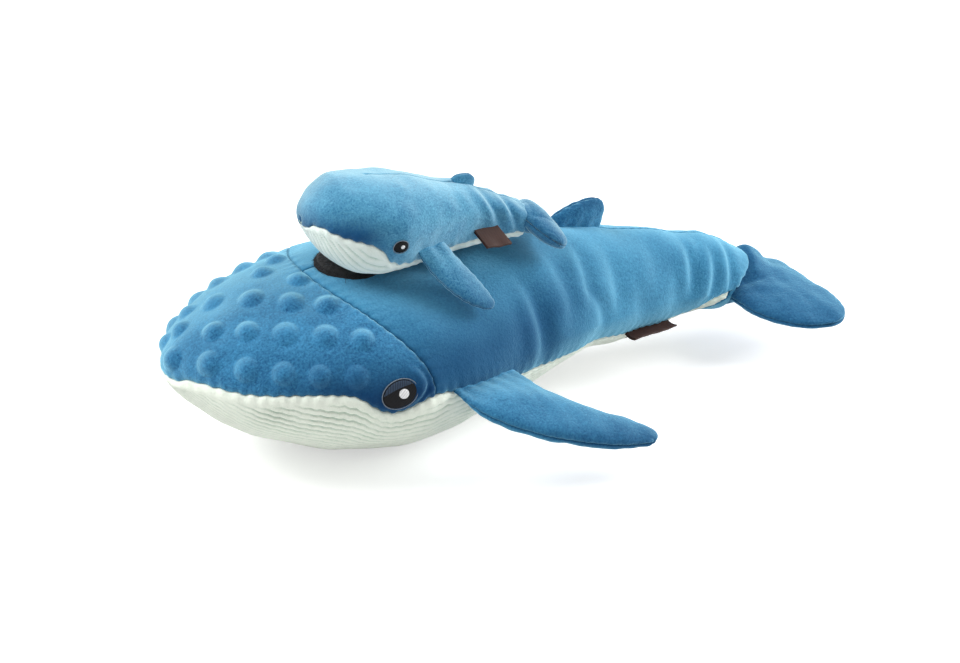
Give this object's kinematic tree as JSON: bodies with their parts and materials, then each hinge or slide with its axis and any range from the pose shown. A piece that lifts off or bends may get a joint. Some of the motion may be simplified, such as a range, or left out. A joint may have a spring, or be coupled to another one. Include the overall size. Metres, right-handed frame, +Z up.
{
  "type": "plush dog toy",
  "caption": "Stuffed plush mother whale with a ribbed pale belly, carrying a small calf that lifts off a round fuzzy patch on the back.",
  "frame": {"origin": "middle of the flat rest face under the mother whale's belly", "axes": "+X from nose to tail, +Z up, -Y towards the near side, which is the left of the animal"},
  "size_m": [0.4473, 0.2772, 0.1689],
  "materials": {
    "blue_plush": "short dense nap, dimple dots on the head panel",
    "mint_corduroy": "wide ribs lengthwise, soft nap",
    "calf_blue_plush": "short smooth nap",
    "calf_mint_corduroy": "wide ribs lengthwise, soft nap",
    "white_stuffing": "loose fibre wadding",
    "squeaker_skin": "thin soft moulded shell",
    "squeaker_reed": "small moulded plug",
    "eye_black_thread": "satin stitched thread with a sheen",
    "eye_lid_thread": "satin stitched thread with a sheen",
    "eye_silver_thread": "satin stitched thread with a sheen",
    "black_loop_tape": "fuzzy loop pile",
    "black_hook_tape": "stiff short hooks",
    "brown_ribbon": "woven ribbon, folded, bare"
  },
  "bodies": {
    "mother": {"head_panel": "blue_plush", "back_panel_left": "blue_plush", "back_panel_right": "blue_plush", "belly_panel": "mint_corduroy", "head_stuffing": "white_stuffing", "body_stuffing": "white_stuffing", "tail_stuffing": "white_stuffing", "squeaker_bulb": "squeaker_skin", "squeaker_reed": "squeaker_reed", "eye_left_patch": "eye_black_thread", "eye_left_lid": "eye_lid_thread", "eye_left_highlight": "eye_silver_thread", "eye_right_patch": "eye_black_thread", "eye_right_lid": "eye_lid_thread", "eye_right_highlight": "eye_silver_thread", "loop_patch": "black_loop_tape"},
    "pectoral_fin_left": {"pectoral_fin_left_upper": "blue_plush", "pectoral_fin_left_lower": "mint_corduroy", "pectoral_fin_left_padding": "white_stuffing"},
    "pectoral_fin_right": {"pectoral_fin_right_upper": "blue_plush", "pectoral_fin_right_lower": "mint_corduroy", "pectoral_fin_right_padding": "white_stuffing"},
    "tail_fluke": {"tail_fluke_upper": "blue_plush", "tail_fluke_lower": "mint_corduroy", "tail_fluke_padding": "white_stuffing"},
    "dorsal_fin": {"dorsal_fin_right": "blue_plush", "dorsal_fin_left": "blue_plush"},
    "side_label": {"side_label": "brown_ribbon"},
    "calf": {"calf_hook_patch": "black_hook_tape", "calf_back_panel": "calf_blue_plush", "calf_belly_panel": "calf_mint_corduroy", "calf_head_stuffing": "white_stuffing", "calf_body_stuffing": "white_stuffing", "calf_squeaker_bulb": "squeaker_skin", "calf_squeaker_reed": "squeaker_reed", "calf_eye_left_patch": "eye_black_thread", "calf_eye_left_highlight": "eye_silver_thread", "calf_eye_right_patch": "eye_black_thread", "calf_eye_right_highlight": "eye_silver_thread"},
    "calf_fin_left": {"calf_fin_left_upper": "calf_blue_plush", "calf_fin_left_lower": "calf_mint_corduroy"},
    "calf_fin_right": {"calf_fin_right_upper": "calf_blue_plush", "calf_fin_right_lower": "calf_mint_corduroy"},
    "calf_fluke": {"calf_fluke_upper": "calf_blue_plush", "calf_fluke_lower": "calf_mint_corduroy"},
    "calf_dorsal_fin": {"calf_dorsal_fin_right": "calf_blue_plush", "calf_dorsal_fin_left": "calf_blue_plush"},
    "calf_side_label": {"calf_side_label": "brown_ribbon"}
  },
  "joints": [
    {"name": "pectoral_fin_left_hinge", "type": "hinge", "parent": "mother", "child": "pectoral_fin_left", "pos_m": [0.015, -0.07865, 0.05225], "axis": [-0.9348, -0.3299, 0.1318], "range_deg": [-10, 40], "stiffness_Nm_per_rad": 0.2},
    {"name": "pectoral_fin_right_hinge", "type": "hinge", "parent": "mother", "child": "pectoral_fin_right", "pos_m": [0.015, 0.07865, 0.05225], "axis": [0.9348, -0.3299, -0.1318], "range_deg": [-10, 40], "stiffness_Nm_per_rad": 0.2},
    {"name": "tail_fluke_hinge", "type": "hinge", "parent": "mother", "child": "tail_fluke", "pos_m": [0.245, 0, 0.03797], "axis": [0, -1, 0], "range_deg": [-20, 20], "stiffness_Nm_per_rad": 0.3},
    {"name": "dorsal_fin_hinge", "type": "hinge", "parent": "mother", "child": "dorsal_fin", "pos_m": [0.1205, 0, 0.10139], "axis": [0.9667, 0, -0.2558], "range_deg": [-25, 25], "stiffness_Nm_per_rad": 0.02},
    {"name": "side_label_hinge", "type": "hinge", "parent": "mother", "child": "side_label", "pos_m": [0.161, -0.02996, 0.03552], "axis": [-0.9819, -0.1881, 0.0211], "range_deg": [0, 60], "stiffness_Nm_per_rad": 0.0005},
    {"name": "calf_lift", "type": "slide", "parent": "mother", "child": "calf", "axis": [0, 0, 1], "range_m": [0, 0.15]},
    {"name": "calf_fin_left_hinge", "type": "hinge", "parent": "calf", "child": "calf_fin_left", "pos_m": [-0.00183, -0.04204, 0.12776], "axis": [-0.9695, -0.2441, -0.023], "range_deg": [0, 50], "stiffness_Nm_per_rad": 0.02},
    {"name": "calf_fin_right_hinge", "type": "hinge", "parent": "calf", "child": "calf_fin_right", "pos_m": [0.00325, 0.01323, 0.12776], "axis": [0.9087, -0.4167, 0.023], "range_deg": [-5, 40], "stiffness_Nm_per_rad": 0.02},
    {"name": "calf_fluke_hinge", "type": "hinge", "parent": "calf", "child": "calf_fluke", "pos_m": [0.07041, -0.02081, 0.12797], "axis": [-0.0915, -0.9958, 0], "range_deg": [-3, 25], "stiffness_Nm_per_rad": 0.02},
    {"name": "calf_dorsal_fin_hinge", "type": "hinge", "parent": "calf", "child": "calf_dorsal_fin", "pos_m": [0.03257, -0.01733, 0.15148], "axis": [0.9268, -0.0852, -0.3658], "range_deg": [-25, 25], "stiffness_Nm_per_rad": 0.002},
    {"name": "calf_side_label_hinge", "type": "hinge", "parent": "calf", "child": "calf_side_label", "pos_m": [0.03802, -0.03456, 0.12803], "axis": [-0.9865, -0.138, 0.0884], "range_deg": [0, 60], "stiffness_Nm_per_rad": 0.0005}
  ]
}
